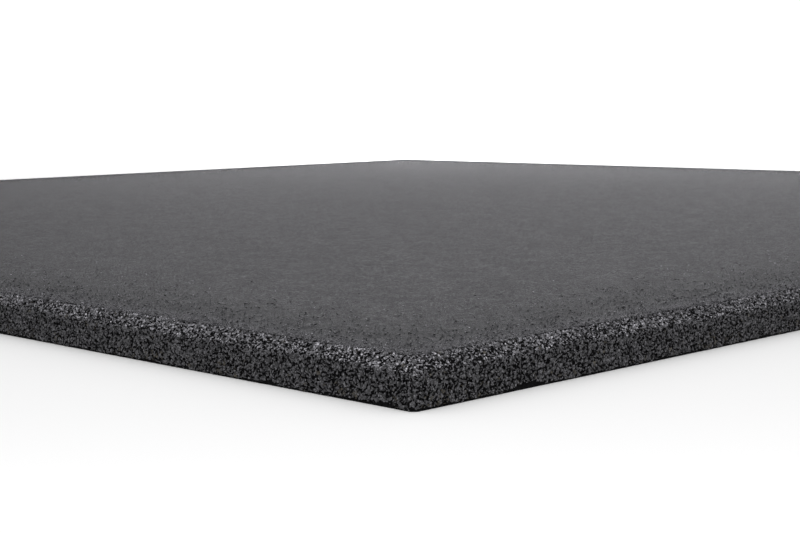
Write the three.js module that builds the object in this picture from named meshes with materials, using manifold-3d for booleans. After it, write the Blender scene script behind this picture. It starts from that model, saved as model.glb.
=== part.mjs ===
// A square rubber floor tile for a gym, moulded in one piece from bonded rubber crumb.
// It lies on its flat underside. A bevel runs round all four edges of the flat top face,
// the four upright corners are slightly rounded, and the lower edge has a small rounded arris.
// Millimetres, +Z up. The origin is at the centre of the underside.

import * as THREE from "three";
import { mergeVertices } from "three/addons/utils/BufferGeometryUtils.js";
import Module from "manifold-3d";

// Driving dimensions
const TILE_WIDTH = 1000; // along X, over the upright sides
const TILE_LENGTH = 1000; // along Y, over the upright sides
const TILE_THICKNESS = 15; // underside to top face
const BEVEL_HEIGHT = 4; // how far the bevel comes down from the top face
const BEVEL_RUN = 5; // how far the bevel reaches in over the top face
const CORNER_RADIUS = 3; // upright corners, seen from above
const ARRIS_RADIUS = 0.8; // lower edge, all the way round

// Fineness of the rounded edges
const CORNER_STEPS = 6; // flats in each quarter turn of an upright corner
const ARRIS_STEPS = 3; // flats in the quarter turn of the lower edge

// How far a cutting shape passes the surface that it cuts
const CUT_PAST = 10;

const RUBBER_COLOUR = 0x333335;

const wasm = await Module();
wasm.setup();

// A closed three.js geometry as a solid that can be cut.
function solidFrom(geometry) {
  const bare = geometry.clone();
  bare.deleteAttribute("normal");
  bare.deleteAttribute("uv");
  const merged = mergeVertices(bare);
  return new wasm.Manifold(
    new wasm.Mesh({
      numProp: 3,
      vertProperties: Float32Array.from(merged.attributes.position.array),
      triVerts: Uint32Array.from(merged.index.array),
    }),
  );
}

// A solid back as a flat-shaded three.js geometry.
function geometryFrom(solid) {
  const mesh = solid.getMesh();
  const indexed = new THREE.BufferGeometry();
  indexed.setAttribute("position", new THREE.BufferAttribute(mesh.vertProperties, mesh.numProp));
  indexed.setIndex(new THREE.BufferAttribute(mesh.triVerts, 1));
  const flat = indexed.toNonIndexed();
  flat.computeVertexNormals();
  return flat;
}

// A rectangle centred on the origin, with round corners where the radius isn't 0.
function rectangle(width, length, radius) {
  const x = width / 2 - radius;
  const y = length / 2 - radius;
  const shape = new THREE.Shape();
  if (radius === 0) {
    shape.setFromPoints([
      new THREE.Vector2(-x, -y),
      new THREE.Vector2(x, -y),
      new THREE.Vector2(x, y),
      new THREE.Vector2(-x, y),
    ]);
    return shape;
  }
  shape.absarc(x, -y, radius, -Math.PI / 2, 0);
  shape.absarc(x, y, radius, 0, Math.PI / 2);
  shape.absarc(-x, y, radius, Math.PI / 2, Math.PI);
  shape.absarc(-x, -y, radius, Math.PI, (3 * Math.PI) / 2);
  return shape;
}

// The tile's outline pulled up from the underside past the top face, with the arris round its foot.
function outlineBlock() {
  const block = new THREE.ExtrudeGeometry(rectangle(TILE_WIDTH, TILE_LENGTH, CORNER_RADIUS), {
    depth: TILE_THICKNESS + CUT_PAST,
    curveSegments: CORNER_STEPS,
    bevelThickness: ARRIS_RADIUS,
    bevelSize: ARRIS_RADIUS,
    bevelOffset: -ARRIS_RADIUS,
    bevelSegments: ARRIS_STEPS,
  });
  block.translate(0, 0, ARRIS_RADIUS);
  return block;
}

// The flat top with the four bevel planes going down and out past the sides of the tile.
function bevelledTop() {
  const pastSides = 1 + CUT_PAST / BEVEL_RUN;
  const drop = BEVEL_HEIGHT * pastSides;
  const depth = TILE_THICKNESS + CUT_PAST;
  const topFace = rectangle(TILE_WIDTH - 2 * BEVEL_RUN, TILE_LENGTH - 2 * BEVEL_RUN, 0);
  const top = new THREE.ExtrudeGeometry(topFace, {
    depth,
    bevelThickness: drop,
    bevelSize: BEVEL_RUN * pastSides,
    bevelSegments: 1,
  });
  top.translate(0, 0, TILE_THICKNESS - drop - depth);
  return top;
}

const tileSolid = solidFrom(outlineBlock()).intersect(solidFrom(bevelledTop()));

const crumbRubber = new THREE.MeshStandardMaterial({
  color: RUBBER_COLOUR,
  roughness: 0.9,
  metalness: 0,
});

const tile = new THREE.Mesh(geometryFrom(tileSolid), crumbRubber);
tile.name = "rubber_tile";

const gymFloorTile = new THREE.Group();
gymFloorTile.add(tile);

export default gymFloorTile;
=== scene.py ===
"""Looks of a square gym floor tile moulded from bonded rubber crumb.

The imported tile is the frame. A dark binder body stands for its solid. The crumbs that show on its upright
sides, on its bevels and on the rim of its top are real closed chunks, pressed against the planes of the
mould, and more of them stand a little proud of the top near its rim. The fine grain of the flat top is in
its material. Everything is in metres, with the underside's centre at the origin.
"""

import math

import bmesh
import bpy
import numpy as np
from bpy.props import FloatProperty, FloatVectorProperty, IntProperty, PointerProperty
from mathutils import Matrix, Vector


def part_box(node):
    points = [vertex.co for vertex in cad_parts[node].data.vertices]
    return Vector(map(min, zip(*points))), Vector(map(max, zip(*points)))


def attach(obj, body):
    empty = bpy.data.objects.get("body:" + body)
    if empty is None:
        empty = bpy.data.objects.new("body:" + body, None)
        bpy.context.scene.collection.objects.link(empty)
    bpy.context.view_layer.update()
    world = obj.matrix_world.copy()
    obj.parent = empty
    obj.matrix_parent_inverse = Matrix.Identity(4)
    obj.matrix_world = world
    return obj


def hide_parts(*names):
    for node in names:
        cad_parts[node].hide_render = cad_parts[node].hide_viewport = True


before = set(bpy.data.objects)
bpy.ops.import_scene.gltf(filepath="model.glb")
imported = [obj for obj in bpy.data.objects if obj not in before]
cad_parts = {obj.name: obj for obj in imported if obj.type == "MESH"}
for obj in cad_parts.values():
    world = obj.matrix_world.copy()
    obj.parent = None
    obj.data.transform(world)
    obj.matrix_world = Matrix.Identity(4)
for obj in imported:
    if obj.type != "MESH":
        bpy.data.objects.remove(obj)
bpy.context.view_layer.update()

bl_info = {
    "name": "Crumb rubber floor tile",
    "version": (1, 0, 0),
    "blender": (4, 5, 0),
    "location": "3D View > Sidebar > Floor tile",
    "description": "Builds the binder body, the rubber crumbs and the studio of a gym floor tile",
    "category": "Object",
}

# The tile's solid, as the frame gives it
TILE = "rubber_tile"
BODY = "root"
tile_low, tile_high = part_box(TILE)
HALF_SIDE = (tile_high.x - tile_low.x) / 2
THICKNESS = tile_high.z - tile_low.z

# Its bevel, upright corners and arris, as in the part's source
BEVEL_HEIGHT = 0.004
BEVEL_RUN = 0.005
CORNER_RADIUS = 0.003
ARRIS_RADIUS = 0.0008

# The mould's outline from foot to top, walked along its surface
SIDE_HEIGHT = THICKNESS - BEVEL_HEIGHT
BEVEL_LENGTH = math.hypot(BEVEL_HEIGHT, BEVEL_RUN)
QUARTER_TURN = math.pi / 2
SIDES = ("front", "right", "back", "left")

# Finishes
CRUMB_FINISH = "crumb rubber"
# The torn finish is a lighter copy of the crumb finish: partly torn rubber, partly painted light for the
# light from above and the glints that the bevels catch
TORN_LIT_FINISH = "torn crumb rubber with painted light"
BINDER_FINISH = "dark binder"
MOULDED_FINISH = "moulded crumb face"
FLOOR_FINISH = "pale floor"

# A stream of random numbers for each group of pieces, so that a change to one leaves the rest alone
SIDE_STREAM = 1
BEVEL_STREAM = 2
TOP_STREAM = 3
BODY_STREAM = 4

# Smooth random courses along a side, one for each use
RIM_WAVES = 1
CLUMP_WAVES = 2
FOOT_WAVES = 3
STAIN_WAVES = 4


# Settings that a user would change
class CrumbSettings(bpy.types.PropertyGroup):
    """Sizes of the rubber crumbs and of the way they lie in the mould"""

    smallest: FloatProperty(
        name="Smallest crumb", description="Length of the smallest crumbs",
        default=0.0009, min=0.0003, unit="LENGTH")
    largest: FloatProperty(
        name="Largest crumb", description="Length of the largest crumbs",
        default=0.0026, min=0.0005, unit="LENGTH")
    side_spacing: FloatProperty(
        name="Spacing on the sides", description="Distance between crumbs on the upright sides",
        default=0.00087, min=0.0005, unit="LENGTH")
    bevel_spacing: FloatProperty(
        name="Spacing on the bevels", description="Distance between crumbs on the bevels",
        default=0.00082, min=0.0005, unit="LENGTH")
    side_tilt: FloatProperty(
        name="Tilt on the sides", description="How far a crumb's outer face leans from the side's plane",
        default=math.radians(13), subtype="ANGLE", unit="ROTATION")
    bevel_tilt: FloatProperty(
        name="Tilt on the bevels", description="How far a crumb's outer face leans from the bevel's plane",
        default=math.radians(20), subtype="ANGLE", unit="ROTATION")
    side_recess: FloatProperty(
        name="Recess on the sides", description="How far back from the side's plane a crumb may lie",
        default=0.00030, min=0.0, unit="LENGTH")
    bevel_recess: FloatProperty(
        name="Recess on the bevels", description="How far back from the bevel's plane a crumb may lie",
        default=0.0005, min=0.0, unit="LENGTH")
    rim: FloatProperty(
        name="Rim on the top face", description="How far the crumbs of the bevel reach in over the top face",
        default=0.0050, min=0.0, unit="LENGTH")
    waves: FloatProperty(
        name="Waves of the rim", description="How much narrower the rim is at its narrowest, as a share",
        default=0.7, min=0.0, max=0.9)
    rim_bites: FloatProperty(
        name="Bites in the rim", description="How deep the gaps between crumbs cut into the flat top",
        default=0.0006, min=0.0, unit="LENGTH")
    clumps: FloatProperty(
        name="Clumps on the bevels", description="How much lighter the bevels are in some places",
        default=1.3, min=0.0)
    sound_middle: FloatProperty(
        name="Sound middle", description="How much darker the bevels are away from the corners",
        default=0.45, min=0.0)
    proud_spacing: FloatProperty(
        name="Spacing of proud crumbs", description="Distance between the proud crumbs at the bevel",
        default=0.00126, min=0.0005, unit="LENGTH")
    proud_reach: FloatProperty(
        name="Reach of proud crumbs", description="Distance from the bevel where they thin to a third",
        default=0.018, min=0.001, unit="LENGTH")
    proud_height: FloatProperty(
        name="Height of proud crumbs", description="How far the highest of them stand above the top face",
        default=0.00027, min=0.0, unit="LENGTH")
    foot_lift: FloatProperty(
        name="Gap at the foot", description="How far above the floor the lowest crumbs may end",
        default=0.0010, min=0.0, unit="LENGTH")
    hollows: IntProperty(
        name="Hollows at the foot", description="Number of places on each side where crumbs have broken out",
        default=26, min=0)
    binder_depth: FloatProperty(
        name="Depth of the binder", description="How far the binder body lies behind the mould's surface",
        default=0.0008, min=0.0002, unit="LENGTH")
    seed: IntProperty(name="Seed", description="Changes how the crumbs are strewn", default=7, min=0)
    wave_seed: IntProperty(
        name="Seed of the waves", description="Changes where the bevels are lighter and the rim is wider",
        default=15, min=0)


class RubberColours(bpy.types.PropertyGroup):
    """Colours of the crumb rubber"""

    crumb: FloatVectorProperty(
        name="Crumb", description="Colour of the lightest crumbs of the sides",
        default=(0.164, 0.1615, 0.1715), size=3, min=0.0, max=1.0, subtype="COLOR")
    dark_crumb: FloatVectorProperty(
        name="Dark crumb", description="Colour of the darkest crumbs",
        default=(0.020, 0.0197, 0.0213), size=3, min=0.0, max=1.0, subtype="COLOR")
    # Torn crumb: partly torn rubber, partly painted light, as the bevels are painted lighter for the light
    # from above and their glints
    torn_crumb_and_painted_light: FloatVectorProperty(
        name="Torn crumb", description="Colour of the lightest crumbs that were torn open on the bevels",
        default=(0.715, 0.706, 0.742), size=3, min=0.0, max=1.0, subtype="COLOR")
    face: FloatVectorProperty(
        name="Top face", description="Colour of the crumbs that are pressed smooth in the top face",
        default=(0.017, 0.0167, 0.0183), size=3, min=0.0, max=1.0, subtype="COLOR")
    dark_face: FloatVectorProperty(
        name="Dark of the top face", description="Colour of the darkest crumbs in the top face",
        default=(0.002, 0.002, 0.0022), size=3, min=0.0, max=1.0, subtype="COLOR")
    # Also the colour of the painted light at the rim of the top face
    proud_crumb_and_rim_light: FloatVectorProperty(
        name="Proud crumb", description="Colour of the lightest crumbs that stand proud of the top face",
        default=(0.700, 0.688, 0.732), size=3, min=0.0, max=1.0, subtype="COLOR")
    brown_crumb: FloatVectorProperty(
        name="Brown crumb", description="Colour of the few brown crumbs",
        default=(0.062, 0.052, 0.034), size=3, min=0.0, max=1.0, subtype="COLOR")
    binder: FloatVectorProperty(
        name="Binder", description="Colour of the binder deep between the crumbs",
        default=(0.008, 0.008, 0.0086), size=3, min=0.0, max=1.0, subtype="COLOR")


class StudioSettings(bpy.types.PropertyGroup):
    """Floor, light and camera"""

    light: FloatVectorProperty(
        name="Light", description="Colour of the room's light and of the lamps",
        default=(0.97, 0.965, 1.0), size=3, min=0.0, max=1.0, subtype="COLOR")
    floor: FloatVectorProperty(
        name="Floor", description="Colour of the pale floor",
        default=(0.955, 0.96, 0.927), size=3, min=0.0, max=1.0, subtype="COLOR")
    room_light: FloatProperty(
        name="Room light", description="Strength of the even light from the white room",
        default=0.84, min=0.0)
    softbox_power: FloatProperty(
        name="Softbox", description="Power of the soft lamp over the near corner",
        default=1.0, min=0.0, unit="POWER")
    backlight_power: FloatProperty(
        name="Backlight", description="Power of the low wide lamp behind the tile",
        default=35.0, min=0.0, unit="POWER")


# Shared mesh work
def new_object(name, mesh):
    """An object at the origin that shows a mesh."""
    piece = bpy.data.objects.new(name, mesh)
    bpy.context.scene.collection.objects.link(piece)
    return piece


def object_from_bmesh(name, bm, finishes):
    """A bmesh as an object at the origin, with its finishes."""
    mesh = bpy.data.meshes.new(name)
    bm.to_mesh(mesh)
    bm.free()
    for finish in finishes:
        mesh.materials.append(bpy.data.materials[finish])
    return new_object(name, mesh)


def carry(piece):
    """Lets a finished piece ride on the tile's body and stand for its solid."""
    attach(piece, BODY)
    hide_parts(TILE)


# Random courses and places
WAVE_LENGTHS = (0.11, 0.047, 0.019, 0.008)


def waves(seeds, along):
    """A smooth random course between 0 and 1 along a side, from sines of several lengths."""
    random = np.random.default_rng(seeds)
    course = np.zeros(len(along))
    for length in WAVE_LENGTHS:
        course += np.sin(2 * math.pi * (along / length + random.uniform(0, 1)))
    return 0.5 + course / (2 * len(WAVE_LENGTHS))


def strewn(random, length, start, end, spacing):
    """Places (along, walk) on a strip, one in each cell of a grid, moved about in its cell."""
    columns = round(length / spacing)
    rows = max(1, round((end - start) / spacing))
    column, row = np.meshgrid(np.arange(columns), np.arange(rows), indexing="ij")
    along = (column + random.uniform(0, 1, column.shape)) / columns * length - length / 2
    walk = start + (row + random.uniform(0, 1, row.shape)) / rows * (end - start)
    return along.ravel(), walk.ravel()


# Shapes of the crumbs, in lengths of a crumb
CRUMB_SHAPES = 28
FEWEST_CORNERS = 5
CORNER_JITTER = 0.13


def crumb_shape(random, corner_count):
    """Corners and triangles of one closed angular chunk, about one unit long."""
    bm = bmesh.new()
    bmesh.ops.create_icosphere(bm, subdivisions=1, radius=0.5)
    bm.verts.ensure_lookup_table()
    lost = random.choice(len(bm.verts), size=len(bm.verts) - corner_count, replace=False)
    bmesh.ops.delete(bm, geom=[bm.verts[i] for i in lost], context="VERTS")
    bmesh.ops.delete(bm, geom=bm.edges[:], context="EDGES_FACES")
    for corner in bm.verts:
        corner.co += Vector(random.uniform(-CORNER_JITTER, CORNER_JITTER, 3))
    hull = bmesh.ops.convex_hull(bm, input=bm.verts[:])
    bmesh.ops.delete(bm, geom=hull["geom_interior"], context="VERTS")
    bmesh.ops.recalc_face_normals(bm, faces=bm.faces[:])
    bm.verts.index_update()
    corners = np.array([corner.co for corner in bm.verts])
    triangles = np.array([[corner.index for corner in face.verts] for face in bm.faces])
    bm.free()
    return corners, triangles


def crumb_shapes(random, third_is_fuller):
    """A set of crumb shapes. Where every third one is fuller, it has one corner more."""
    shapes = []
    for each in range(CRUMB_SHAPES):
        fuller = third_is_fuller and each % 3 == 2
        shapes.append(crumb_shape(random, FEWEST_CORNERS + int(fuller)))
    return shapes


def random_turns(random, count):
    """Rotation matrices that point anywhere, from random unit quaternions."""
    quaternions = random.normal(size=(4, count))
    w, x, y, z = quaternions / np.linalg.norm(quaternions, axis=0)
    rows = [
        [1 - 2 * (y * y + z * z), 2 * (x * y - z * w), 2 * (x * z + y * w)],
        [2 * (x * y + z * w), 1 - 2 * (x * x + z * z), 2 * (y * z - x * w)],
        [2 * (x * z - y * w), 2 * (y * z + x * w), 1 - 2 * (x * x + y * y)],
    ]
    return np.moveaxis(np.array(rows), 2, 0)


# The mould, in a side's own frame: along the side, inward from it, up
INWARD = np.array([0.0, 1.0, 0.0])
UP = np.array([0.0, 0.0, 1.0])
BEVEL_OUT = np.array([0.0, -BEVEL_HEIGHT, BEVEL_RUN]) / BEVEL_LENGTH


def on_side(along, walk):
    """Points and outward normals on the upright side, which turns round the corners at its ends."""
    straight = HALF_SIDE - CORNER_RADIUS
    turn = np.maximum(np.abs(along) - straight, 0) / CORNER_RADIUS * np.sign(along)
    x = np.clip(along, -straight, straight) + CORNER_RADIUS * np.sin(turn)
    y = CORNER_RADIUS * (1 - np.cos(turn))
    points = np.stack([x, y, walk], axis=1)
    normals = np.stack([np.sin(turn), -np.cos(turn), np.zeros_like(turn)], axis=1)
    return points, normals


def on_bevel(along, walk):
    """Points and outward normals on the bevel and on the rim of the top face behind it."""
    share = np.clip(walk / BEVEL_LENGTH, 0, 1)
    beyond = np.maximum(walk - BEVEL_LENGTH, 0)
    y = share * BEVEL_RUN + beyond
    points = np.stack([along, y, SIDE_HEIGHT + share * BEVEL_HEIGHT], axis=1)
    normals = np.where((beyond > 0)[:, None], UP, BEVEL_OUT)
    return points, normals


def press(points, outward, limit):
    """Points moved back along a plane's normal where they pass it."""
    past = np.maximum((points * outward).sum(-1) - limit, 0)
    return points - past[..., None] * outward


def press_round(first, second, radius):
    """Two distances from the planes of an edge, with the points outside its round moved back to it."""
    a = radius - first
    b = radius - second
    reach = np.hypot(a, b)
    outside = (a > 0) & (b > 0) & (reach > radius)
    scale = np.where(outside, radius / np.maximum(reach, radius), 1)
    return radius - a * scale, radius - b * scale


def press_into_mould(points, slack, lift):
    """Points kept inside the mould. The slack lets each crumb stand a little proud or lie a little back."""
    bevel_limit = BEVEL_OUT[2] * SIDE_HEIGHT + slack
    points = press(points, -INWARD, slack)
    points = press(points, BEVEL_OUT, bevel_limit)
    points = press(points, UP, THICKNESS + slack)
    # The next side's plane and bevel, which the end of this side meets
    end = HALF_SIDE - np.abs(points[..., 0])
    across = np.stack([points[..., 1], end, points[..., 2]], axis=-1)
    across = press(across, -INWARD, slack)
    across = press(across, BEVEL_OUT, bevel_limit)
    # The upright corner, then the arris along the foot
    inward, end, height = across[..., 0], across[..., 1], across[..., 2]
    inward, end = press_round(inward + slack, end + slack, CORNER_RADIUS)
    inward = inward - slack
    end = end - slack
    foot, height = press_round(inward + slack, height, ARRIS_RADIUS)
    inward = np.where(height < ARRIS_RADIUS, foot - slack, inward)
    along = (HALF_SIDE - end) * np.sign(points[..., 0])
    return np.stack([along, inward, np.maximum(height, lift)], axis=-1)


# A crumb's squash on its three axes and the depth of its middle, in lengths of a crumb
SQUASH = ((0.9, 1.15), (0.65, 1.0), (0.5, 0.85))
MIDDLE_DEPTH = (0.04, 0.22)


def pressed_crumbs(random, shapes, points, normals, sizes, depths, tilts, slack, lift):
    """Many crumbs, strewn at points behind the mould's surface and flattened against it.

    The three arrays are their corners, their triangles and the crumb that each corner belongs to.
    """
    count = len(points)
    kinds = random.integers(0, len(shapes), count)
    turns = random_turns(random, count)
    squash = np.stack([random.uniform(least, most, count) for least, most in SQUASH], axis=1)
    leaning = normals + random.normal(size=(count, 3)) * np.tan(tilts)[:, None]
    leaning /= np.linalg.norm(leaning, axis=1, keepdims=True)
    centres = points - normals * (depths + sizes * random.uniform(*MIDDLE_DEPTH, count))[:, None]
    faces_at = points - normals * depths[:, None]
    corners = []
    triangles = []
    owners = []
    first = 0
    for kind, (shape, shape_triangles) in enumerate(shapes):
        chosen = np.flatnonzero(kinds == kind)
        chunk = shape[None] * (squash[chosen] * sizes[chosen, None])[:, None]
        chunk = np.einsum("nij,nvj->nvi", turns[chosen], chunk) + centres[chosen, None]
        limit = (faces_at[chosen] * leaning[chosen]).sum(1)[:, None]
        chunk = press(chunk, leaning[chosen, None], limit)
        chunk = press_into_mould(chunk, slack[chosen, None], lift[chosen, None])
        starts = first + np.arange(len(chosen)) * len(shape)
        triangles.append((shape_triangles[None] + starts[:, None, None]).reshape(-1, 3))
        corners.append(chunk.reshape(-1, 3))
        owners.append(np.repeat(chosen, len(shape)))
        first += len(chosen) * len(shape)
    return np.concatenate(corners), np.concatenate(triangles), np.concatenate(owners)


# The attribute that gives a crumb its tone, and the tones of the crumbs
TONE = "crumb_tone"
LIGHTEST_TONE = 0.98
BROWN_TONE = 1
BROWN_SHARE = 0.012
SMALL_CRUMBS_POWER = 1.8


def joined(name, corners, triangles, tones, side, finishes, second=None):
    """The crumbs of one side as one mesh, turned from the side's own frame to its place on the tile.

    Crumbs have the first finish, or the second one where their corners are marked.
    """
    away = corners - np.array([0, HALF_SIDE, 0])
    turn = side * QUARTER_TURN
    x = away[:, 0] * math.cos(turn) - away[:, 1] * math.sin(turn)
    y = away[:, 0] * math.sin(turn) + away[:, 1] * math.cos(turn)
    placed = np.stack([x, y, corners[:, 2]], axis=1)
    mesh = bpy.data.meshes.new(name)
    mesh.from_pydata(placed.tolist(), [], triangles.tolist())
    tone = mesh.attributes.new(TONE, "FLOAT", "POINT")
    tone.data.foreach_set("value", tones.astype(np.float32))
    for finish in finishes:
        mesh.materials.append(bpy.data.materials[finish])
    if second is not None:
        mesh.polygons.foreach_set("material_index", second[triangles[:, 0]].astype(np.int32))
    mesh.update()
    return new_object(name, mesh)


def crumb_sizes(random, crumbs, count):
    """Lengths of crumbs: many small ones and a few large ones."""
    share = random.uniform(0, 1, count) ** SMALL_CRUMBS_POWER
    return crumbs.smallest + (crumbs.largest - crumbs.smallest) * share


def crumb_tones(random, count, lightness, brown_share):
    """Tones of crumbs from the darkest up, moved by a lightness, and the tone of the brown ones."""
    tones = np.clip(random.uniform(0, 1, count) + lightness, 0, LIGHTEST_TONE)
    return np.where(random.uniform(0, 1, count) < brown_share, BROWN_TONE, tones)


# Nodes, and the numbers of a colour mix's sockets
MIX_SHARE = 0
MIX_FIRST = 6
MIX_SECOND = 7
MIX_RESULT = 2
WHOLE = (0.0, 1.0)
REVERSED = (1.0, 0.0)


def add(tree, kind, **values):
    """A node with its properties and inputs set. An input is named by its label, with spaces as _."""
    node = tree.nodes.new(kind)
    for name, value in values.items():
        if hasattr(node, name):
            setattr(node, name, value)
        else:
            node.inputs[name.replace("_", " ")].default_value = value
    return node


def feed(tree, socket, value):
    """Links a socket to a node's result, or sets its own number, vector or colour."""
    if isinstance(value, bpy.types.NodeSocket):
        tree.links.new(value, socket)
    elif socket.type == "RGBA":
        socket.default_value = (*value, 1.0)
    else:
        socket.default_value = value


def maths(tree, operation, first, second):
    """The result of a Math node on links or numbers."""
    node = add(tree, "ShaderNodeMath", operation=operation)
    feed(tree, node.inputs[0], first)
    feed(tree, node.inputs[1], second)
    return node.outputs[0]


def vector_maths(tree, operation, *values):
    """A Vector Math node on links or vectors."""
    node = add(tree, "ShaderNodeVectorMath", operation=operation)
    for socket, value in zip(node.inputs, values):
        feed(tree, socket, value)
    return node


def ranged(tree, value, span, result=WHOLE, smooth=True):
    """A value turned from one span into another, with soft ends where it is smooth."""
    node = add(tree, "ShaderNodeMapRange", interpolation_type="SMOOTHSTEP" if smooth else "LINEAR")
    tree.links.new(value, node.inputs["Value"])
    node.inputs["From Min"].default_value = span[0]
    node.inputs["From Max"].default_value = span[1]
    node.inputs["To Min"].default_value = result[0]
    node.inputs["To Max"].default_value = result[1]
    return node.outputs["Result"]


def mixed(tree, share, first, second):
    """The result of a colour mix of links or plain colours."""
    node = add(tree, "ShaderNodeMix", data_type="RGBA")
    feed(tree, node.inputs[MIX_SHARE], share)
    feed(tree, node.inputs[MIX_FIRST], first)
    feed(tree, node.inputs[MIX_SECOND], second)
    return node.outputs[MIX_RESULT]


def new_material(name, specular):
    """The node tree and the Principled shader of a new material."""
    material = bpy.data.materials.new(name)
    material.use_nodes = True
    tree = material.node_tree
    shader = tree.nodes["Principled BSDF"]
    shader.inputs["Specular IOR Level"].default_value = specular
    return tree, shader


def object_place(tree):
    """The place on the object, in metres."""
    return add(tree, "ShaderNodeTexCoord").outputs["Object"]


def bumped(tree, shader, height):
    """A Bump node from a height in metres to a shader's normal."""
    bump = add(tree, "ShaderNodeBump", Strength=1.0, Distance=1.0)
    tree.links.new(height, bump.inputs["Height"])
    tree.links.new(bump.outputs["Normal"], shader.inputs["Normal"])


# Torn rubber, shared by all the finishes
CRACK_FADE = (0.3, 1.0)


def grain_group():
    """The node group for torn rubber: flat chips that each lean their own way, with cracks between them.

    Height is in metres. A chip's plane is its own random direction times the way from its middle.
    """
    group = bpy.data.node_groups.new("rubber grain", "ShaderNodeTree")
    group.interface.new_socket("Place", in_out="INPUT", socket_type="NodeSocketVector")
    for name in ("Scale", "Slope", "Crack Width"):
        group.interface.new_socket(name, in_out="INPUT", socket_type="NodeSocketFloat")
    for name in ("Height", "Tone", "Second Tone", "Cracks"):
        group.interface.new_socket(name, in_out="OUTPUT", socket_type="NodeSocketFloat")
    entry = add(group, "NodeGroupInput")
    leave = add(group, "NodeGroupOutput")
    place = entry.outputs["Place"]
    chips = add(group, "ShaderNodeTexVoronoi", feature="F1")
    edges = add(group, "ShaderNodeTexVoronoi", feature="DISTANCE_TO_EDGE")
    for texture in (chips, edges):
        group.links.new(place, texture.inputs["Vector"])
        group.links.new(entry.outputs["Scale"], texture.inputs["Scale"])
    lean = vector_maths(group, "SUBTRACT", chips.outputs["Color"], (0.5, 0.5, 0.5))
    from_middle = vector_maths(group, "SUBTRACT", place, chips.outputs["Position"])
    plane = vector_maths(group, "DOT_PRODUCT", lean.outputs["Vector"], from_middle.outputs["Vector"])
    height = maths(group, "MULTIPLY", plane.outputs["Value"], entry.outputs["Slope"])
    tone = add(group, "ShaderNodeSeparateColor")
    group.links.new(chips.outputs["Color"], tone.inputs["Color"])
    from_crack = maths(group, "DIVIDE", edges.outputs["Distance"], entry.outputs["Crack Width"])
    group.links.new(height, leave.inputs["Height"])
    group.links.new(tone.outputs["Red"], leave.inputs["Tone"])
    group.links.new(tone.outputs["Green"], leave.inputs["Second Tone"])
    group.links.new(ranged(group, from_crack, CRACK_FADE, REVERSED), leave.inputs["Cracks"])
    return group


def placed_group(tree, group, place, **values):
    """A node group in a material, with its place linked and its numbers set."""
    node = add(tree, "ShaderNodeGroup", node_tree=group)
    tree.links.new(place, node.inputs["Place"])
    for name, value in values.items():
        node.inputs[name.replace("_", " ")].default_value = value
    return node


# Crumb rubber: chips on each crumb, some of them black, with dark cracks between them
CHIP_SCALE = 1350.0
CHIP_CRACKS = 0.24
BLACK_CHIPS = (0.11, 0.16)
BROWN_CRUMBS = (0.985, 0.99)
CRACK_DARKNESS = 0.8
CHIP_ROUGHNESS = (0.36, 0.7)


def crumb_material(name, light_colour, colours, grain, crumb_share, contrast, slope, specular):
    """Black rubber crumbs, each with its own tone, a few of them brown.

    The crumb's share is how much of a chip's tone comes from its crumb.
    """
    tree, shader = new_material(name, specular)
    crumb_tone = add(tree, "ShaderNodeAttribute", attribute_name=TONE).outputs["Fac"]
    chips = placed_group(tree, grain, object_place(tree), Scale=CHIP_SCALE, Slope=slope,
                         Crack_Width=CHIP_CRACKS)
    second_tone = chips.outputs["Second Tone"]
    tone = maths(tree, "ADD", maths(tree, "MULTIPLY", crumb_tone, crumb_share),
                 maths(tree, "MULTIPLY", chips.outputs["Tone"], 1 - crumb_share))
    tone = maths(tree, "POWER", tone, contrast)
    colour = mixed(tree, tone, colours.dark_crumb, light_colour)
    colour = mixed(tree, ranged(tree, second_tone, BLACK_CHIPS, REVERSED), colour, colours.binder)
    colour = mixed(tree, ranged(tree, crumb_tone, BROWN_CRUMBS), colour, colours.brown_crumb)
    cracks = maths(tree, "MULTIPLY", chips.outputs["Cracks"], CRACK_DARKNESS)
    colour = mixed(tree, cracks, colour, colours.binder)
    tree.links.new(colour, shader.inputs["Base Color"])
    roughness = ranged(tree, second_tone, WHOLE, CHIP_ROUGHNESS)
    tree.links.new(roughness, shader.inputs["Roughness"])
    bumped(tree, shader, chips.outputs["Height"])


# Binder
BINDER_ROUGHNESS = 0.8
DARKEST_BINDER = (0.002, 0.002, 0.002)


def binder_material(colours, grain):
    """The nearly black binder that shows deep between the crumbs."""
    tree, shader = new_material(BINDER_FINISH, specular=0.05)
    shader.inputs["Roughness"].default_value = BINDER_ROUGHNESS
    chips = placed_group(tree, grain, object_place(tree), Scale=1200.0, Slope=2.0, Crack_Width=0.1)
    colour = mixed(tree, chips.outputs["Tone"], DARKEST_BINDER, colours.binder)
    tree.links.new(colour, shader.inputs["Base Color"])
    bumped(tree, shader, chips.outputs["Height"])


# Pits in the top face: how many of the places for one are open, and how far from its middle a pit ends
PIT_SCALE = 560.0
PIT_SHARE = 0.22
MORE_AT_RIM = (0.2, 0.0)
MORE_WITHIN = (BEVEL_RUN, 0.03)
PIT_FADE = (0.2, 0.36)


def reach_from_side(tree, place):
    """The distance from a place on the top face to the nearest side of the tile."""
    away = vector_maths(tree, "ABSOLUTE", place)
    axes = add(tree, "ShaderNodeSeparateXYZ")
    tree.links.new(away.outputs["Vector"], axes.inputs[0])
    nearest = maths(tree, "MAXIMUM", axes.outputs["X"], axes.outputs["Y"])
    return maths(tree, "SUBTRACT", HALF_SIDE, nearest)


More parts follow.
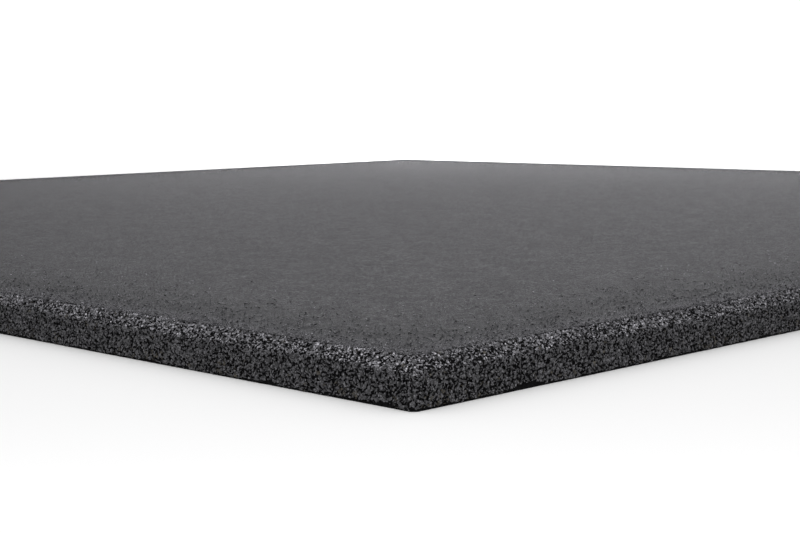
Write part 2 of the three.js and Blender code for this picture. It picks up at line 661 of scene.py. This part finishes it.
def pits_near_rim(tree, place, reach):
    """A mask of round pits in the top face, many at the rim and fewer further in."""
    pits = add(tree, "ShaderNodeTexVoronoi", feature="F1", Scale=PIT_SCALE)
    tree.links.new(place, pits.inputs["Vector"])
    tone = add(tree, "ShaderNodeSeparateColor")
    tree.links.new(pits.outputs["Color"], tone.inputs["Color"])
    share = maths(tree, "ADD", ranged(tree, reach, MORE_WITHIN, MORE_AT_RIM), PIT_SHARE)
    open_pit = maths(tree, "LESS_THAN", tone.outputs["Red"], share)
    return maths(tree, "MULTIPLY", open_pit, ranged(tree, pits.outputs["Distance"], PIT_FADE, REVERSED))


# Moulded face: roughness of its crumbs, chips and wide patches, and tones of what lies in it
FACE_ROUGHNESS = (0.61, 0.85)
ROUGHER_CHIPS = 0.3
PATCH_SCALE = 110.0
PATCHES = (0.3, 0.7)
PATCH_ROUGHNESS = (-0.04, 0.04)
SEAM_DARKNESS = 0.6
# Painted light at the rim of the top face, for the light that the proud crumbs shade off it: the reaches
# between which it fades, and its share
RIM_PAINTED_LIGHT_WITHIN = (BEVEL_RUN - 0.001, 0.026)
RIM_PAINTED_LIGHT_SHARE = (0.40, 0.0)
DARK_CRUMBS = (0.001, 0.02)
LIGHT_CRUMBS = (0.45, 0.65)
SPECKS = (0.975, 0.98)
SPECK_COLOUR = (0.11, 0.11, 0.11)
GAP_DEPTH = 0.0002


def moulded_roughness(tree, place, chips, crumbs):
    """Roughness of the moulded face: that of each crumb, of each chip and of wide soft patches."""
    crumb = ranged(tree, crumbs.outputs["Second Tone"], WHOLE, FACE_ROUGHNESS, smooth=False)
    chip = maths(tree, "MULTIPLY", chips.outputs["Second Tone"], ROUGHER_CHIPS)
    patches = add(tree, "ShaderNodeTexNoise", Scale=PATCH_SCALE, Detail=2.0)
    tree.links.new(place, patches.inputs["Vector"])
    patch = ranged(tree, patches.outputs["Fac"], PATCHES, PATCH_ROUGHNESS, smooth=False)
    return maths(tree, "ADD", maths(tree, "ADD", crumb, chip), patch)


def moulded_colour(tree, reach, chips, colours):
    """Colour of the moulded face, lighter at the rim as painted light, with a few light specks.

    The proud crumbs are darker or lighter than the face by their own tone, which is 0 on the face itself.
    """
    crumb_tone = add(tree, "ShaderNodeAttribute", attribute_name=TONE).outputs["Fac"]
    colour = mixed(tree, chips.outputs["Tone"], colours.dark_face, colours.face)
    # Painted light: the face is lighter near its rim
    colour = mixed(tree, ranged(tree, reach, RIM_PAINTED_LIGHT_WITHIN, RIM_PAINTED_LIGHT_SHARE), colour, colours.proud_crumb_and_rim_light)
    colour = mixed(tree, ranged(tree, crumb_tone, DARK_CRUMBS), colour, colours.dark_face)
    colour = mixed(tree, ranged(tree, crumb_tone, LIGHT_CRUMBS), colour, colours.proud_crumb_and_rim_light)
    return mixed(tree, ranged(tree, chips.outputs["Second Tone"], SPECKS), colour, SPECK_COLOUR)


def moulded_material(colours, grain):
    """The flat top face: crumbs pressed smooth, with small pits and seams between them."""
    tree, shader = new_material(MOULDED_FINISH, specular=0.4)
    place = object_place(tree)
    reach = reach_from_side(tree, place)
    chips = placed_group(tree, grain, place, Scale=2600.0, Slope=0.4, Crack_Width=0.3)
    crumbs = placed_group(tree, grain, place, Scale=900.0, Slope=0.06, Crack_Width=0.1)
    seams = maths(tree, "MULTIPLY", crumbs.outputs["Cracks"], SEAM_DARKNESS)
    gaps = maths(tree, "MAXIMUM", chips.outputs["Cracks"], pits_near_rim(tree, place, reach))
    gaps = maths(tree, "MAXIMUM", gaps, seams)
    colour = mixed(tree, gaps, moulded_colour(tree, reach, chips, colours), colours.binder)
    tree.links.new(colour, shader.inputs["Base Color"])
    roughness = moulded_roughness(tree, place, chips, crumbs)
    tree.links.new(roughness, shader.inputs["Roughness"])
    height = maths(tree, "ADD", chips.outputs["Height"], crumbs.outputs["Height"])
    bumped(tree, shader, maths(tree, "SUBTRACT", height, maths(tree, "MULTIPLY", gaps, GAP_DEPTH)))


class TILE_OT_materials(bpy.types.Operator):
    """Makes the grain group and the finishes of the rubber"""

    bl_idname = "tile.materials"
    bl_label = "Shared materials"

    def execute(self, context):
        colours = context.scene.tile_colours
        grain = grain_group()
        crumb_material(CRUMB_FINISH, colours.crumb, colours, grain,
                       crumb_share=0.25, contrast=0.45, slope=0.75, specular=0.5)
        # Painted light: the torn finish's light colour is far lighter than that of the sides, and stands in
        # for the light from above and the glints
        crumb_material(TORN_LIT_FINISH, colours.torn_crumb_and_painted_light, colours, grain,
                       crumb_share=0.3, contrast=0.95, slope=0.9, specular=0.7)
        binder_material(colours, grain)
        moulded_material(colours, grain)
        return {"FINISHED"}


# Binder body
RIM_STEP = 0.0017
RIM_WALL = 0.0002
CORNER_SEGMENTS = 4
FLAT_WITHIN = 0.00001
FACING_UP = 0.9


def jagged_rim(bm, top, bites, random):
    """Turns the straight edge of the flat top into short steps that each lie their own way in."""
    ring = list(top.edges)
    walls = {face for edge in ring for face in edge.link_faces if face is not top}
    foot = [edge for face in walls for edge in face.edges
            if edge.verts[0].co.z == edge.verts[1].co.z and edge not in ring]
    height = top.verts[0].co.z
    bmesh.ops.delete(bm, geom=[top], context="FACES_ONLY")
    bmesh.ops.subdivide_edges(bm, edges=ring + foot, cuts=round(2 * HALF_SIDE / RIM_STEP))
    rim = [corner for corner in bm.verts if corner.co.z == height]
    rim.sort(key=lambda corner: math.atan2(corner.co.y, corner.co.x))
    for corner in rim:
        axis = 0 if abs(corner.co.x) > abs(corner.co.y) else 1
        corner.co[axis] -= math.copysign(random.uniform(0, bites), corner.co[axis])
    bm.faces.new(rim)


def inset_body(depth, bites, random):
    """The tile's shape with its sides and bevels a little way in, and its top and underside full."""
    bm = bmesh.new()
    size = Matrix.Diagonal((2 * (HALF_SIDE - depth), 2 * (HALF_SIDE - depth), SIDE_HEIGHT, 1))
    bmesh.ops.create_cube(bm, size=1, matrix=Matrix.Translation((0, 0, SIDE_HEIGHT / 2)) @ size)
    top = [face for face in bm.faces if face.normal.z > FACING_UP]
    bmesh.ops.inset_region(bm, faces=top, thickness=BEVEL_RUN - depth, depth=BEVEL_HEIGHT - depth,
                           use_even_offset=True)
    bmesh.ops.inset_region(bm, faces=top, thickness=RIM_WALL, depth=depth, use_even_offset=True)
    upright = [edge for edge in bm.edges if edge.verts[0].co.xy == edge.verts[1].co.xy]
    bmesh.ops.bevel(bm, geom=upright, offset=CORNER_RADIUS - depth, affect="EDGES",
                    segments=CORNER_SEGMENTS, profile=0.5, material=-1)
    jagged_rim(bm, top[0], bites, random)
    bmesh.ops.triangulate(bm, faces=bm.faces[:])
    bmesh.ops.recalc_face_normals(bm, faces=bm.faces[:])
    return bm


class TILE_OT_body(bpy.types.Operator):
    """Makes the binder body with its flat moulded top and underside"""

    bl_idname = "tile.body"
    bl_label = "Binder body"

    def execute(self, context):
        crumbs = context.scene.tile_crumbs
        random = np.random.default_rng((crumbs.seed, 0, BODY_STREAM))
        shape = inset_body(crumbs.binder_depth, crumbs.rim_bites, random)
        body = object_from_bmesh("binder_body", shape, (BINDER_FINISH, MOULDED_FINISH))
        for face in body.data.polygons:
            moulded = abs(face.center.z - THICKNESS / 2) > THICKNESS / 2 - FLAT_WITHIN
            face.material_index = 1 if moulded else 0
        carry(body)
        return {"FINISHED"}


# Hollows in the foot where crumbs have broken out: place along the side, length, height
KNOWN_HOLLOWS = {
    "front": [(-0.4505, 0.016, 0.0020)],
    "left": [(0.4370, 0.008, 0.0016), (0.4880, 0.009, 0.0015)],
}
HOLLOW_LENGTHS = (0.003, 0.009)
HOLLOW_HEIGHTS = (0.0006, 0.0014)

# Crumbs of the sides, which go half-way round the corners and a little past the foot of the bevel
CORNER_WALK = CORNER_RADIUS * math.pi / 4
PAST_SIDE = 0.0003
SIDE_BACK = 0.0002
SIDE_RECESS_POWER = 2

# Gaps at the foot as shares of the set one, by crumb and by place, and the share of crumbs with none
LIFT_OF_EACH = (0.5, 1.0)
LEAST_LIFT = 0.3
LIFT_BY_WAVES = 1.3
ON_THE_FLOOR = 0.1

# Stretches near the foot with more brown crumbs
STAIN_HEIGHT = 0.0045
STAIN_ABOVE_WAVE = 0.62
STAINED_SHARE = 0.25


def foot_hollows(random, side_name, along, count):
    """How high the hollows in a side's foot reach at places along it."""
    hollows = list(KNOWN_HOLLOWS.get(side_name, []))
    for each in range(count):
        place = random.uniform(-HALF_SIDE, HALF_SIDE)
        hollows.append((place, random.uniform(*HOLLOW_LENGTHS), random.uniform(*HOLLOW_HEIGHTS)))
    reach = np.zeros(len(along))
    for place, length, height in hollows:
        share = np.clip(1 - ((along - place) / (length / 2)) ** 2, 0, 1)
        reach = np.maximum(reach, height * np.sqrt(share))
    return reach


def foot_lifts(random, crumbs, side, along, hollow):
    """How far above the floor each crumb ends at least, more in some places along the side."""
    count = len(along)
    by_place = LEAST_LIFT + LIFT_BY_WAVES * waves((crumbs.wave_seed, side, FOOT_WAVES), along)
    lift = random.uniform(*LIFT_OF_EACH, count) * crumbs.foot_lift * by_place
    lift = np.where(random.uniform(0, 1, count) < ON_THE_FLOOR, 0, lift)
    return np.maximum(lift, hollow)


def brown_shares(crumbs, side, along, walk):
    """The share of brown crumbs at places on a side: more of them in stained stretches near the foot."""
    in_stretch = waves((crumbs.wave_seed, side, STAIN_WAVES), along) > STAIN_ABOVE_WAVE
    return np.where((walk < STAIN_HEIGHT) & in_stretch, STAINED_SHARE, BROWN_SHARE)


class TILE_OT_side_crumbs(bpy.types.Operator):
    """Strews the crumbs that show on the four upright sides"""

    bl_idname = "tile.side_crumbs"
    bl_label = "Crumbs of the sides"

    def execute(self, context):
        crumbs = context.scene.tile_crumbs
        length = 2 * (HALF_SIDE - CORNER_RADIUS + CORNER_WALK)
        for side, name in enumerate(SIDES):
            random = np.random.default_rng((crumbs.seed, side, SIDE_STREAM))
            shapes = crumb_shapes(random, third_is_fuller=True)
            along, walk = strewn(random, length, 0.0, SIDE_HEIGHT + PAST_SIDE, crumbs.side_spacing)
            hollow = foot_hollows(random, name, along, crumbs.hollows)
            kept = walk >= hollow
            along, walk, hollow = along[kept], walk[kept], hollow[kept]
            points, normals = on_side(along, walk)
            count = len(points)
            sizes = crumb_sizes(random, crumbs, count)
            depths = random.uniform(0, 1, count) ** SIDE_RECESS_POWER * crumbs.side_recess
            tilts = np.full(count, crumbs.side_tilt)
            slack = random.uniform(-SIDE_BACK, 0.0, count)
            lift = foot_lifts(random, crumbs, side, along, hollow)
            corners, triangles, owners = pressed_crumbs(
                random, shapes, points, normals, sizes, depths, tilts, slack, lift)
            tones = crumb_tones(random, count, 0, brown_shares(crumbs, side, along, walk))
            carry(joined("side_crumbs_" + name, corners, triangles, tones[owners], side, [CRUMB_FINISH]))
        return {"FINISHED"}


# Crumbs of the bevels, with one more row along the edge between bevel and top
BEVEL_START = 0.0006
EDGE_ROW_START = BEVEL_LENGTH - 0.0008
EDGE_ROW_END = BEVEL_LENGTH + 0.0001
EDGE_ROW_SPACING = 0.0009
BEVEL_SLACK = 0.0002
BEVEL_RECESS_POWER = 1.5

# How much lighter a bevel's foot is than its head, a painted highlight for the glossy facets low on the
# bevel, and the stretch from each corner that is torn most
BEVEL_PAINTED_HIGHLIGHT = 0.3
CORNER_WEAR = 0.12

# Rim: the shares of missing and of smooth crumbs at the bevel, and how much they grow over its width
RIM_MISSING = 0.1
RIM_MISSING_MORE = 0.7
RIM_SMOOTH = 0.3
RIM_SMOOTH_MORE = 3

# Rim: tilt and height of its crumbs, as shares of the bevel's tilt and of the proud crumbs' height
RIM_TILT = 0.25
RIM_PROUD = 0.3


def bevel_places(random, crumbs):
    """Places on a bevel and on the rim behind it."""
    along, walk = strewn(random, 2 * HALF_SIDE, BEVEL_START, BEVEL_LENGTH + crumbs.rim,
                         crumbs.bevel_spacing)
    edge_along, edge_walk = strewn(random, 2 * HALF_SIDE, EDGE_ROW_START, EDGE_ROW_END, EDGE_ROW_SPACING)
    return np.concatenate([along, edge_along]), np.concatenate([walk, edge_walk])


def bevel_lightness(crumbs, side, along, share):
    """How much is added to the tones of a bevel's crumbs: in clumps, by height as a painted highlight on the
    foot, and near the corners.
    """
    lightness = crumbs.clumps * (waves((crumbs.wave_seed, side, CLUMP_WAVES), along) - 0.5)
    # Painted highlight: the foot of each bevel is lighter than its head
    lightness += BEVEL_PAINTED_HIGHLIGHT * (0.5 - share)
    from_corner = HALF_SIDE - np.abs(along)
    lightness -= crumbs.sound_middle * (1 - np.exp(-(from_corner / CORNER_WEAR) ** 2))
    return lightness


class TILE_OT_bevel_crumbs(bpy.types.Operator):
    """Strews the rough crumbs of the four bevels and of the rim of the top face"""

    bl_idname = "tile.bevel_crumbs"
    bl_label = "Crumbs of the bevels"

    def execute(self, context):
        crumbs = context.scene.tile_crumbs
        for side, name in enumerate(SIDES):
            random = np.random.default_rng((crumbs.seed, side, BEVEL_STREAM))
            shapes = crumb_shapes(random, third_is_fuller=True)
            along, walk = bevel_places(random, crumbs)
            points, normals = on_bevel(along, walk)
            width = crumbs.rim * (1 - crumbs.waves * waves((crumbs.wave_seed, side, RIM_WAVES), along))
            beyond = np.maximum(walk - BEVEL_LENGTH, 0) / width
            share = np.minimum(walk / BEVEL_LENGTH, 1)
            lightness = bevel_lightness(crumbs, side, along, share)
            missing = np.where(beyond > 0, RIM_MISSING + RIM_MISSING_MORE * beyond, 0)
            kept = np.abs(points[:, 0]) < HALF_SIDE - points[:, 1]
            kept &= random.uniform(0, 1, len(kept)) > missing
            points, normals = points[kept], normals[kept]
            beyond, lightness, share = beyond[kept], lightness[kept], share[kept]
            on_rim = beyond > 0
            count = len(points)
            sizes = crumb_sizes(random, crumbs, count)
            recess = random.uniform(0, 1, count) ** BEVEL_RECESS_POWER * crumbs.bevel_recess
            proud = random.uniform(-RIM_PROUD, RIM_PROUD, count) * crumbs.proud_height
            depths = np.where(on_rim, -proud, recess * (1 - share ** 2))
            tilts = np.where(on_rim, crumbs.bevel_tilt * RIM_TILT, crumbs.bevel_tilt)
            slack = np.where(on_rim, crumbs.proud_height, random.uniform(-BEVEL_SLACK, BEVEL_SLACK, count))
            corners, triangles, owners = pressed_crumbs(
                random, shapes, points, normals, sizes, depths, tilts, slack, np.zeros(count))
            tones = crumb_tones(random, count, lightness, BROWN_SHARE)
            smooth = (random.uniform(0, 1, count) < RIM_SMOOTH + RIM_SMOOTH_MORE * beyond) & on_rim
            carry(joined("bevel_crumbs_" + name, corners, triangles, tones[owners], side,
                         [TORN_LIT_FINISH, MOULDED_FINISH], smooth[owners]))
        return {"FINISHED"}


# Proud crumbs of the top: their lengths, their heights as shares of the highest one, and their tilt
PROUD_LENGTHS = (0.0006, 0.0012)
PROUD_SHARES = (0.2, 1.0)
PROUD_TILT = math.radians(15)

# The share of torn ones at the bevel, and how many times their reach they go in from it
PROUD_TORN = 0.12
THINNED_OUT = 5


class TILE_OT_top_crumbs(bpy.types.Operator):
    """Strews the crumbs that stand a little proud of the top face, most of them near its rim"""

    bl_idname = "tile.top_crumbs"
    bl_label = "Proud crumbs of the top"

    def execute(self, context):
        crumbs = context.scene.tile_crumbs
        for side, name in enumerate(SIDES):
            random = np.random.default_rng((crumbs.seed, side, TOP_STREAM))
            shapes = crumb_shapes(random, third_is_fuller=False)
            along, reach = strewn(random, 2 * HALF_SIDE, BEVEL_RUN,
                                  BEVEL_RUN + THINNED_OUT * crumbs.proud_reach, crumbs.proud_spacing)
            kept = np.abs(along) < HALF_SIDE - reach
            kept &= random.uniform(0, 1, len(kept)) < np.exp((BEVEL_RUN - reach) / crumbs.proud_reach)
            along, reach = along[kept], reach[kept]
            count = len(along)
            points = np.stack([along, reach, np.full(count, THICKNESS)], axis=1)
            normals = np.tile(UP, (count, 1))
            sizes = random.uniform(*PROUD_LENGTHS, count)
            depths = random.uniform(-PROUD_SHARES[1], -PROUD_SHARES[0], count) * crumbs.proud_height
            tilts = np.full(count, PROUD_TILT)
            slack = np.full(count, crumbs.proud_height)
            corners, triangles, owners = pressed_crumbs(
                random, shapes, points, normals, sizes, depths, tilts, slack, np.zeros(count))
            tones = crumb_tones(random, count, 0, 0)
            torn = random.uniform(0, 1, count) < PROUD_TORN * np.exp((BEVEL_RUN - reach) / crumbs.rim)
            carry(joined("top_crumbs_" + name, corners, triangles, tones[owners], side,
                         [MOULDED_FINISH, TORN_LIT_FINISH], torn[owners]))
        return {"FINISHED"}


# Camera, fitted to the tile's outline in the photograph
CAMERA_PLACE = (-0.80303, -0.79982, 0.08789)
CAMERA_HEADING = math.radians(-44.8307)
CAMERA_PITCH = math.radians(6.2245)
CAMERA_ROLL = math.radians(-0.6105)
CAMERA_LENS = 69.667

# Floor, and the distances from the tile's middle between which it begins to glow
FLOOR_DROP = 0.00005
FLOOR_RADIUS = 60.0
FLOOR_SEGMENTS = 96
FLOOR_ROUGHNESS = 0.9
FLOOR_GLOW = (0.69, 1.7)

# Room and lamps
BACKDROP_STRENGTH = 1.2
SOFTBOX_PLACE = (-0.75, -0.75, 0.5)
SOFTBOX_AIM = (-0.55, -0.55, 0.0)
SOFTBOX_SIZE = (0.35, 0.35)
BACKLIGHT_PLACE = (1.17, 0.78, 0.08)
BACKLIGHT_AIM = (0.4, 0.4, 0.0)
BACKLIGHT_SIZE = (2.6, 0.14)


def floor_material(colour):
    """The floor's pale finish. Far from the tile it glows, as an overexposed studio floor."""
    tree, shader = new_material(FLOOR_FINISH, specular=0.0)
    shader.inputs["Roughness"].default_value = FLOOR_ROUGHNESS
    shader.inputs["Base Color"].default_value = (*colour, 1.0)
    shader.inputs["Emission Strength"].default_value = 1.0
    reach = vector_maths(tree, "LENGTH", object_place(tree)).outputs["Value"]
    glow = mixed(tree, ranged(tree, reach, FLOOR_GLOW), (0, 0, 0), (1, 1, 1))
    tree.links.new(glow, shader.inputs["Emission Color"])


def studio_floor(colour):
    """A wide pale floor just under the tile."""
    floor_material(colour)
    bm = bmesh.new()
    bmesh.ops.create_circle(bm, cap_ends=True, segments=FLOOR_SEGMENTS, radius=FLOOR_RADIUS,
                            matrix=Matrix.Translation((0, 0, -FLOOR_DROP)))
    object_from_bmesh("studio_floor", bm, [FLOOR_FINISH])


def studio_room(colour, strength):
    """An even white room. The camera sees it brighter than it lights, as an overexposed backdrop."""
    world = bpy.data.worlds.new("white room")
    bpy.context.scene.world = world
    world.use_nodes = True
    tree = world.node_tree
    lit = tree.nodes["Background"]
    lit.inputs["Color"].default_value = (*colour, 1)
    lit.inputs["Strength"].default_value = strength
    seen = add(tree, "ShaderNodeBackground", Color=(1, 1, 1, 1), Strength=BACKDROP_STRENGTH)
    path = add(tree, "ShaderNodeLightPath")
    mix = add(tree, "ShaderNodeMixShader")
    tree.links.new(path.outputs["Is Camera Ray"], mix.inputs[0])
    tree.links.new(lit.outputs[0], mix.inputs[1])
    tree.links.new(seen.outputs[0], mix.inputs[2])
    tree.links.new(mix.outputs[0], tree.nodes["World Output"].inputs["Surface"])


def soft_lamp(name, place, aim, size, colour, power):
    """A rectangular soft lamp that points at a place and isn't seen itself."""
    lamp = bpy.data.lights.new(name, "AREA")
    lamp.shape = "RECTANGLE"
    lamp.size, lamp.size_y = size
    lamp.color = colour
    lamp.energy = power
    box = bpy.data.objects.new(name, lamp)
    box.visible_camera = False
    box.location = place
    box.rotation_euler = (Vector(aim) - Vector(place)).to_track_quat("-Z", "Y").to_euler()
    bpy.context.scene.collection.objects.link(box)


def photo_camera():
    """The camera at the photograph's viewing angle."""
    lens = bpy.data.cameras.new("camera")
    lens.lens = CAMERA_LENS
    camera = bpy.data.objects.new("camera", lens)
    turn = Matrix.Rotation(CAMERA_HEADING, 4, "Z")
    turn = turn @ Matrix.Rotation(QUARTER_TURN - CAMERA_PITCH, 4, "X")
    turn = turn @ Matrix.Rotation(CAMERA_ROLL, 4, "Z")
    camera.matrix_world = Matrix.Translation(CAMERA_PLACE) @ turn
    bpy.context.scene.collection.objects.link(camera)
    bpy.context.scene.camera = camera


class TILE_OT_studio(bpy.types.Operator):
    """Makes the floor, the white room, the softbox, the backlight and the camera"""

    bl_idname = "tile.studio"
    bl_label = "Studio"

    def execute(self, context):
        studio = context.scene.tile_studio
        context.scene.view_settings.view_transform = "Standard"
        studio_floor(studio.floor)
        studio_room(studio.light, studio.room_light)
        soft_lamp("softbox", SOFTBOX_PLACE, SOFTBOX_AIM, SOFTBOX_SIZE, studio.light, studio.softbox_power)
        soft_lamp("backlight", BACKLIGHT_PLACE, BACKLIGHT_AIM, BACKLIGHT_SIZE,
                  studio.light, studio.backlight_power)
        photo_camera()
        return {"FINISHED"}


class VIEW3D_PT_tile(bpy.types.Panel):
    """Lists the tile's settings and the steps that build it"""

    bl_label = "Floor tile"
    bl_space_type = "VIEW_3D"
    bl_region_type = "UI"
    bl_category = "Floor tile"

    def draw(self, context):
        for group in (context.scene.tile_crumbs, context.scene.tile_colours, context.scene.tile_studio):
            for name in group.__annotations__:
                self.layout.prop(group, name)
        for operator in OPERATORS:
            self.layout.operator(operator.bl_idname)


OPERATORS = (TILE_OT_materials, TILE_OT_body, TILE_OT_side_crumbs, TILE_OT_bevel_crumbs,
             TILE_OT_top_crumbs, TILE_OT_studio)
CLASSES = (CrumbSettings, RubberColours, StudioSettings, *OPERATORS, VIEW3D_PT_tile)


def register():
    """Registers the classes and hangs the settings on the scene."""
    for each in CLASSES:
        bpy.utils.register_class(each)
    bpy.types.Scene.tile_crumbs = PointerProperty(type=CrumbSettings)
    bpy.types.Scene.tile_colours = PointerProperty(type=RubberColours)
    bpy.types.Scene.tile_studio = PointerProperty(type=StudioSettings)


def unregister():
    """Takes the settings and the classes away again."""
    del bpy.types.Scene.tile_studio
    del bpy.types.Scene.tile_colours
    del bpy.types.Scene.tile_crumbs
    for each in reversed(CLASSES):
        bpy.utils.unregister_class(each)


def main():
    """Builds the tile and its studio in order."""
    register()
    bpy.ops.tile.materials()
    bpy.ops.tile.body()
    bpy.ops.tile.side_crumbs()
    bpy.ops.tile.bevel_crumbs()
    bpy.ops.tile.top_crumbs()
    bpy.ops.tile.studio()


if __name__ == "__main__":
    main()
